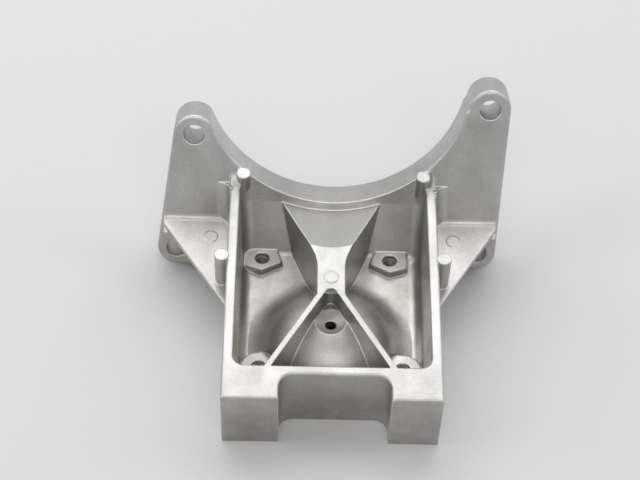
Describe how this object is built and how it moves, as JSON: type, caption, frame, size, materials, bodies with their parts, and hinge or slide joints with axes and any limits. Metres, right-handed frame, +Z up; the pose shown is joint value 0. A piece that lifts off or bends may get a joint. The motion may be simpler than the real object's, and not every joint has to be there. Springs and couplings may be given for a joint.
{
  "type": "transmission mount bracket",
  "caption": "Cast aluminium bracket: an open ribbed box with a notched front block, a leaning plate with bolt ears and a round saddle, and flat gusset wings.",
  "frame": {"origin": "middle of the bounding box's footprint, on the base", "axes": "+X across the bracket to the right as seen from the notched block, +Y from the block towards the leaning plate, +Z up from the base"},
  "size_m": [0.2218, 0.203, 0.1274],
  "materials": {
    "cast_aluminium": "satin as cast"
  },
  "bodies": {
    "root": {"bracket_casting": "cast_aluminium"}
  },
  "joints": []
}
